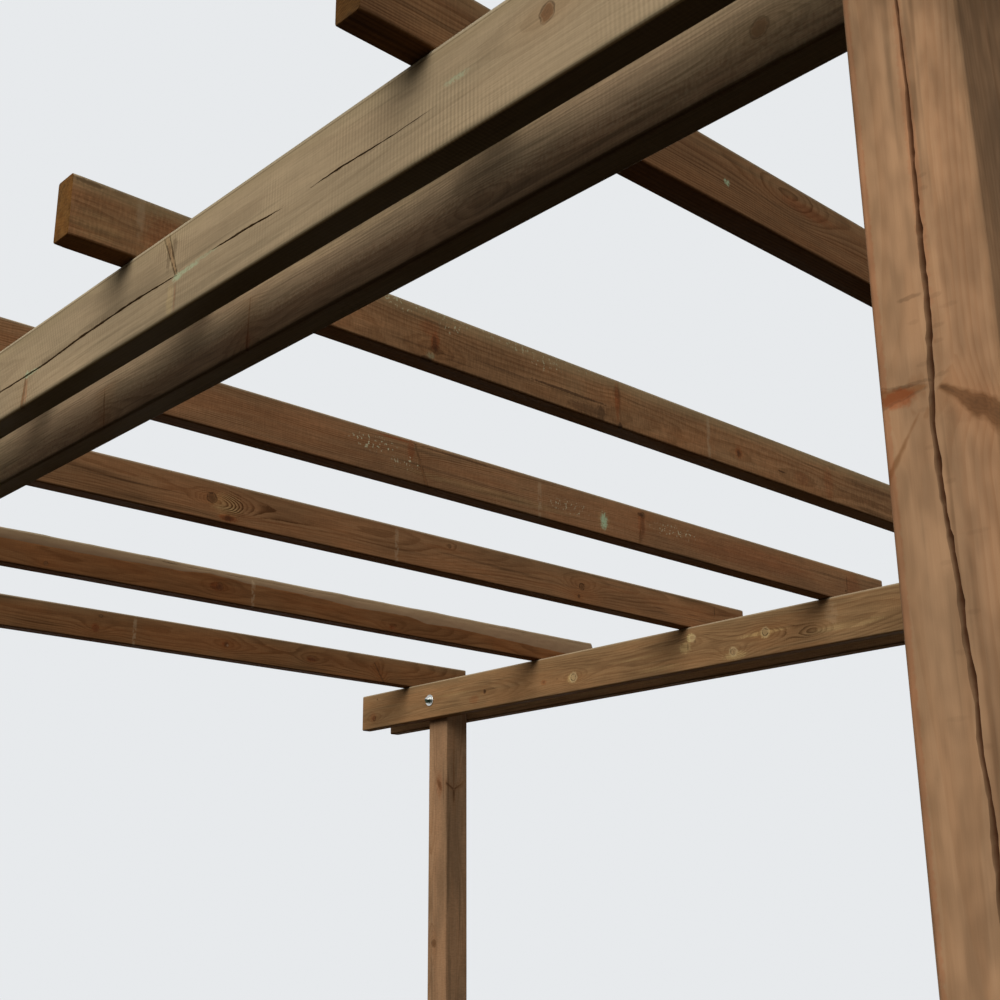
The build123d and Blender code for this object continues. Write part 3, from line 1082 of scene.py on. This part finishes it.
def build_timber(name, axes, settings, colours):
    """Model one timber in its own coordinates, put it in its place and let it stand for its node."""
    low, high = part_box(name)
    centre = (low + high) / 2
    size = tuple(abs(value) for value in axes.transposed() @ (high - low))
    length, thickness, depth = size
    seed = 1 + (POSTS + BEAMS + RAFTERS).index(name)
    kind = name.split("_")[0]
    look = {**(POST_LOOK if name in POSTS else COMMON_LOOK), **LOOKS[name]}
    # Heights along a post are given from the ground, the rest from the timber's middle
    look["origin"] = centre.z if name in POSTS else 0.0
    column, step = COLUMNS[kind], settings.ring_step
    if name in CHECKS:
        step *= CHECKED_STEP
    if name == WANEY:
        column, step = WANEY_COLUMN, WANEY_STEP
    bm = squared_timber(length, thickness, depth, settings.arris, step, column)
    if name in CHECKS:
        open_checks(bm, CHECKS[name], thickness, depth, settings.arris, look["origin"])
    if name == WANEY:
        saw_wane(bm, thickness, depth)
    weather(bm, size, seed * 3.7)
    matrix = axes.to_4x4()
    matrix.translation = centre
    bmesh.ops.transform(bm, matrix=matrix, verts=bm.verts[:])
    bm.normal_update()
    half = [value / 2 for value in size]
    material = wood_material(name, shared_groups(), centre, axes, half, colours, look, seed)
    return new_piece(f"{name}_timber", bm, [material], WOOD_CREASE, [name])


# ---- Operators


class PERGOLA_OT_posts(bpy.types.Operator):
    """Model the four square posts, with the drying check down the front right one."""

    bl_idname = "pergola.posts"
    bl_label = "Build Posts"

    def execute(self, context):
        settings = context.scene.pergola_posts
        for name in POSTS:
            build_timber(name, POST_AXES, settings, (settings.early, settings.late, settings.heart))
        return {"FINISHED"}


class PERGOLA_OT_beams(bpy.types.Operator):
    """Model the two pairs of beams, the front pair greyer than the back pair."""

    bl_idname = "pergola.beams"
    bl_label = "Build Beams"

    def execute(self, context):
        settings = context.scene.pergola_beams
        for name in BEAMS:
            colours = (settings.early, settings.late, settings.heart)
            if "front" in name:
                colours = (settings.weathered, settings.weathered_late, settings.weathered_heart)
            build_timber(name, BEAM_AXES, settings, colours)
        return {"FINISHED"}


class PERGOLA_OT_rafters(bpy.types.Operator):
    """Model the seven rafters, one of them with wane."""

    bl_idname = "pergola.rafters"
    bl_label = "Build Rafters"

    def execute(self, context):
        settings = context.scene.pergola_rafters
        for name in RAFTERS:
            build_timber(name, RAFTER_AXES, settings, (settings.early, settings.late, settings.heart))
        return {"FINISHED"}


# The colour of matt zinc, and of the painted reflection of the dark ground
DULL_ZINC, PAINTED_GROUND_REFLECTION = (0.42, 0.43, 0.42), (0.035, 0.05, 0.032)
THREAD_LENGTH = 20 * MM
THREAD_PITCH = 1.75 * MM
# How far the bolt's end stands out of the nut, and how far its shank reaches into the head
BOLT_TAIL = 5 * MM
SHANK_OVERLAP = 1 * MM
# How far the head and the nut were turned when they were tight, in degrees
HEAD_TURN, NUT_TURN = 14, 37
BOLT_STEPS, WASHER_STEPS = 32, 48
# Flats of the cone that turns down a hexagon's corners, and its rim as a share of the width across flats
CONE_FLATS = 24
CONE_RIM = 0.97


def hexagon(bm, across_flats, height, start):
    """In an empty mesh, a hexagonal block along +Z from start, its outer corners turned down to a cone."""
    radius = across_flats / math.sqrt(3)
    bmesh.ops.create_cone(
        bm, cap_ends=True, segments=6, radius1=radius, radius2=radius, depth=height,
        matrix=Matrix.Translation((0, 0, start + height / 2)),
    )
    for index in range(CONE_FLATS):
        turn = 2 * math.pi * index / CONE_FLATS
        outwards = Vector((math.cos(turn), math.sin(turn), 0))
        normal = (outwards + Vector((0, 0, math.sqrt(3)))).normalized()
        point = outwards * across_flats / 2 * CONE_RIM + Vector((0, 0, start + height))
        result = bmesh.ops.bisect_plane(
            bm, geom=bm.verts[:] + bm.edges[:] + bm.faces[:], dist=1e-7, plane_co=point, plane_no=normal,
            clear_outer=True,
        )
        rim = [g for g in result["geom_cut"] if isinstance(g, bmesh.types.BMEdge)]
        if len(rim) > 2:
            bmesh.ops.edgeloop_fill(bm, edges=rim)


def turned(bm, profile, steps):
    """A solid of revolution round Z from (radius, height) points, closed or with both ends on the axis."""
    verts = [bm.verts.new((radius, 0, height)) for radius, height in profile]
    edges = [bm.edges.new(pair) for pair in zip(verts, verts[1:])]
    bmesh.ops.spin(
        bm, geom=verts + edges, cent=(0, 0, 0), axis=(0, 0, 1), angle=2 * math.pi, steps=steps, use_merge=True
    )


def finish_fastener(bm, name, zinc, matrix):
    """Put the mesh in its place, close it and turn its faces outwards."""
    bmesh.ops.transform(bm, matrix=matrix, verts=bm.verts[:])
    bmesh.ops.remove_doubles(bm, verts=bm.verts[:], dist=1e-6)
    bmesh.ops.recalc_face_normals(bm, faces=bm.faces[:])
    new_piece(name, bm, [zinc], STEEL_CREASE)


def zinc_material(name, zinc, ground_reflection):
    """Zinc-plated steel, matt and darker in clouds, with fine turning marks, and a painted reflection of the dark
    ground on its lower half, strongest on the inside.
    """
    material, net = new_material(name)
    objects = net.add("ShaderNodeTexCoord").outputs["Object"]
    clouds = net.noise(objects, 260.0, 3.0, 0.6)
    grain = net.noise(objects, 2200.0, 2.0, 0.6)
    colour = net.blend(net.times(net.ramp(clouds, 0.42, 0.68), 0.45), zinc, DULL_ZINC)
    low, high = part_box("beam_back_inner")
    across, height = net.split(objects)[1:]
    height = net.minus(height, (low.z + high.z) / 2)
    # Painted reflection: the lower half of the bolts and nuts is darkened, as if it mirrored the dark ground
    lower = net.ramp(net.times_plus(clouds, 6 * MM, height), 3 * MM, 7 * MM, 1.0, 0.0)
    inside = net.ramp(net.math("ABSOLUTE", across), high.y, high.y + 80 * MM, ground_reflection, 0.35 * ground_reflection)
    colour = net.blend(net.times(lower, inside), colour, PAINTED_GROUND_REFLECTION)
    bump = net.add("ShaderNodeBump", {"Strength": 0.4, "Distance": 0.08 * MM, "Height": grain}).outputs[0]
    rough = net.ramp(clouds, 0.35, 0.7, 0.26, 0.46)
    finish_material(net, {"Base Color": colour, "Metallic": 1.0, "Roughness": rough, "Normal": bump})
    return material


class PERGOLA_OT_bolts(bpy.types.Operator):
    """Model the bolt, nut and two washers that clasp the beams to each post."""

    bl_idname = "pergola.bolts"
    bl_label = "Build Bolts"

    def execute(self, context):
        settings = context.scene.pergola_bolts
        zinc = zinc_material("zinc_plate", settings.zinc, 0.0)
        zinc_with_ground_reflection = zinc_material("zinc_painted_reflection", settings.zinc, 1.0)
        for name in POSTS:
            side = name.removeprefix("post_")
            row = side.split("_")[0]
            low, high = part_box(name)
            outer_low, outer_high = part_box(f"beam_{row}_outer")
            inner_low, inner_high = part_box(f"beam_{row}_inner")
            height = (outer_low.z + outer_high.z) / 2
            x = (low.x + high.x) / 2
            front = min(outer_low.y, inner_low.y)
            back = max(outer_high.y, inner_high.y)
            # The head is on the outside of the pergola, and the nut on the inside
            head_y, nut_y = (front, back) if row == "front" else (back, front)
            inwards = 1 if nut_y > head_y else -1
            clasp = abs(nut_y - head_y)
            axes = Matrix(((1, 0, 0), (0, 0, inwards), (0, -inwards, 0))).to_4x4()
            axes.translation = Vector((x, head_y, height))
            self.build_set(settings, zinc, zinc_with_ground_reflection, side, axes, clasp)
        return {"FINISHED"}

    @staticmethod
    def build_set(settings, zinc, zinc_with_ground_reflection, side, matrix, clasp):
        """One bolt set along +Z: the head is under the timbers at 0 and the nut at the far face."""
        shank = settings.shank_radius
        washer = settings.washer_thickness
        tail = clasp + washer + settings.nut_height + BOLT_TAIL

        bm = bmesh.new()
        hexagon(bm, settings.across_flats, settings.head_height, washer)
        turn = Matrix.Rotation(math.radians(HEAD_TURN), 4, "Z") @ Matrix.Rotation(math.pi, 4, "X")
        bmesh.ops.transform(bm, matrix=turn, verts=bm.verts[:])
        z = clasp - THREAD_LENGTH
        profile = [(0, -washer - SHANK_OVERLAP), (shank, -washer - SHANK_OVERLAP), (shank, z)]
        while z + THREAD_PITCH < tail - 1 * MM:
            profile += [(shank - 1.0 * MM, z + THREAD_PITCH * 0.5), (shank, z + THREAD_PITCH)]
            z += THREAD_PITCH
        profile += [(shank - 1.2 * MM, tail), (0, tail)]
        turned(bm, profile, BOLT_STEPS)
        finish_fastener(bm, f"bolt_{side}", zinc_with_ground_reflection, matrix)

        bm = bmesh.new()
        hexagon(bm, settings.across_flats, settings.nut_height, clasp + washer)
        bmesh.ops.transform(bm, matrix=Matrix.Rotation(math.radians(NUT_TURN), 4, "Z"), verts=bm.verts[:])
        finish_fastener(bm, f"nut_{side}", zinc_with_ground_reflection, matrix)

        outer, edge, hole = settings.washer_radius, 0.5 * MM, shank + 0.5 * MM
        for place, start in (("head", -washer), ("nut", clasp)):
            end = start + washer
            bm = bmesh.new()
            turned(bm, [
                (hole, start + edge), (hole + edge, start), (outer - edge, start), (outer, start + edge),
                (outer, end - edge), (outer - edge, end), (hole + edge, end), (hole, end - edge),
                (hole, start + edge),
            ], WASHER_STEPS)
            finish_fastener(bm, f"washer_{place}_{side}", zinc, matrix)


DARK_TERRACE = (0.018, 0.015, 0.011)
WARM_HAZE, CLEAR_SKY = (1.0, 0.89, 0.70), (1.0, 0.98, 0.95)
SUN_COLOUR = {"key_sun": (1.0, 0.96, 0.90), "fill_sun": (1.0, 0.98, 0.95)}
# The camera's place in metres, its lens in millimetres, and how far it turns left, rises and rolls in degrees
CAMERA_PLACE = (1.9969, -1.9699, 1.4636)
CAMERA_LENS = 50.468
CAMERA_ANGLES = (43.1328, 17.8151, -0.4523)


class PERGOLA_OT_stage(bpy.types.Operator):
    """Lay the floor, set the soft light and place the camera."""

    bl_idname = "pergola.stage"
    bl_label = "Build Stage"

    def execute(self, context):
        settings = context.scene.pergola_stage
        self.floor(settings)
        self.light(context.scene, settings)
        self.camera(context.scene)
        context.scene.view_settings.view_transform = "Standard"
        return {"FINISHED"}

    @staticmethod
    def seen(net):
        """1 for what the camera sees, also in a reflection or through glass."""
        path = net.add("ShaderNodeLightPath").outputs
        return net.most(net.most(path["Is Camera Ray"], path["Is Glossy Ray"]), path["Is Transmission Ray"])

    def floor(self, settings):
        """A plain pale floor, far wider than the pergola."""
        bm = bmesh.new()
        bmesh.ops.create_grid(bm, x_segments=2, y_segments=2, size=settings.floor_size / 2)
        mesh = bpy.data.meshes.new("floor")
        bm.to_mesh(mesh)
        bm.free()
        floor = bpy.data.objects.new("floor", mesh)
        bpy.context.scene.collection.objects.link(floor)
        material, net = new_material("floor_paint")
        objects = net.add("ShaderNodeTexCoord").outputs["Object"]
        mottle = net.ramp(net.noise(objects, 1.5, 3.0), 0.3, 0.7, 0.97, 1.0)
        pale = net.blend(1.0, settings.floor_colour, net.join(mottle, mottle, mottle), "MULTIPLY")
        # The floor throws little light back up, as a dark terrace does
        shown = net.blend(self.seen(net), DARK_TERRACE, pale)
        finish_material(net, {"Base Color": shown, "Roughness": 0.9, "Specular IOR Level": 0.1})
        mesh.materials.append(material)

    def light(self, scene, settings):
        """A soft sky that is brightest overhead, and two wide suns."""
        world = bpy.data.worlds.new("soft_sky")
        world.use_nodes = True
        tree = world.node_tree
        tree.nodes.clear()
        net = Net(tree)
        up = net.split(net.add("ShaderNodeTexCoord").outputs["Generated"])[2]
        sky = net.times(net.ramp(up, -0.05, 0.9, 0.14, 1.1), settings.sky_light)
        warmth = net.blend(net.ramp(up, 0.0, 0.55), WARM_HAZE, CLEAR_SKY)
        lit = net.add("ShaderNodeBackground", {"Color": warmth, "Strength": sky})
        shown = net.add("ShaderNodeBackground", {"Color": settings.backdrop, "Strength": 1.0})
        mixed = net.add("ShaderNodeMixShader", {0: self.seen(net), 1: lit.outputs[0], 2: shown.outputs[0]})
        net.add("ShaderNodeOutputWorld", {"Surface": mixed.outputs[0]})
        scene.world = world
        self.sun("key_sun", (0.27, -0.85, 0.45), 38, settings.key_light)
        self.sun("fill_sun", (-0.55, 0.75, 0.36), 60, settings.fill_light)

    @staticmethod
    def sun(name, towards, width, strength):
        """A sun in a direction, as wide as an angle in degrees, so that its shadows are soft."""
        data = bpy.data.lights.new(name, "SUN")
        data.angle = math.radians(width)
        data.energy = strength
        data.color = SUN_COLOUR[name]
        lamp = bpy.data.objects.new(name, data)
        lamp.rotation_euler = Vector(towards).to_track_quat("Z", "Y").to_euler()
        bpy.context.scene.collection.objects.link(lamp)

    @staticmethod
    def camera(scene):
        """Stand inside the front right corner and look up along the rafters."""
        turn, rise, roll = (math.radians(angle) for angle in CAMERA_ANGLES)
        ahead = Vector((-math.cos(turn) * math.cos(rise), math.sin(turn) * math.cos(rise), math.sin(rise)))
        right = ahead.cross(Vector((0, 0, 1))).normalized()
        up = right.cross(ahead)
        rolled_right = math.cos(roll) * right + math.sin(roll) * up
        rolled_up = math.cos(roll) * up - math.sin(roll) * right
        matrix = Matrix((rolled_right, rolled_up, -ahead)).transposed().to_4x4()
        matrix.translation = Vector(CAMERA_PLACE)
        data = bpy.data.cameras.new("camera")
        data.sensor_width = 36.0
        data.lens = CAMERA_LENS
        camera = bpy.data.objects.new("camera", data)
        camera.matrix_world = matrix
        scene.collection.objects.link(camera)
        scene.camera = camera


class PERGOLA_PT_panel(bpy.types.Panel):
    """The pergola's settings and the buttons that build it."""

    bl_idname = "PERGOLA_PT_panel"
    bl_label = "Timber Pergola"
    bl_space_type = "VIEW_3D"
    bl_region_type = "UI"
    bl_category = "Pergola"

    def draw(self, context):
        for key, _, operator in STEPS:
            box = self.layout.box()
            settings = getattr(context.scene, key)
            for prop in settings.bl_rna.properties:
                if prop.identifier not in ("rna_type", "name"):
                    box.prop(settings, prop.identifier)
            box.operator(operator.bl_idname)


STEPS = (
    ("pergola_posts", PostSettings, PERGOLA_OT_posts),
    ("pergola_beams", BeamSettings, PERGOLA_OT_beams),
    ("pergola_rafters", RafterSettings, PERGOLA_OT_rafters),
    ("pergola_bolts", BoltSettings, PERGOLA_OT_bolts),
    ("pergola_stage", StageSettings, PERGOLA_OT_stage),
)


def register():
    """Add the settings, the operators and the panel."""
    for key, settings, operator in STEPS:
        bpy.utils.register_class(settings)
        setattr(bpy.types.Scene, key, bpy.props.PointerProperty(type=settings))
        bpy.utils.register_class(operator)
    bpy.utils.register_class(PERGOLA_PT_panel)


def unregister():
    """Take them away again."""
    bpy.utils.unregister_class(PERGOLA_PT_panel)
    for key, settings, operator in reversed(STEPS):
        bpy.utils.unregister_class(operator)
        delattr(bpy.types.Scene, key)
        bpy.utils.unregister_class(settings)


def main():
    """Build everything in order."""
    register()
    bpy.ops.pergola.posts()
    bpy.ops.pergola.beams()
    bpy.ops.pergola.rafters()
    bpy.ops.pergola.bolts()
    bpy.ops.pergola.stage()


if __name__ == "__main__":
    main()
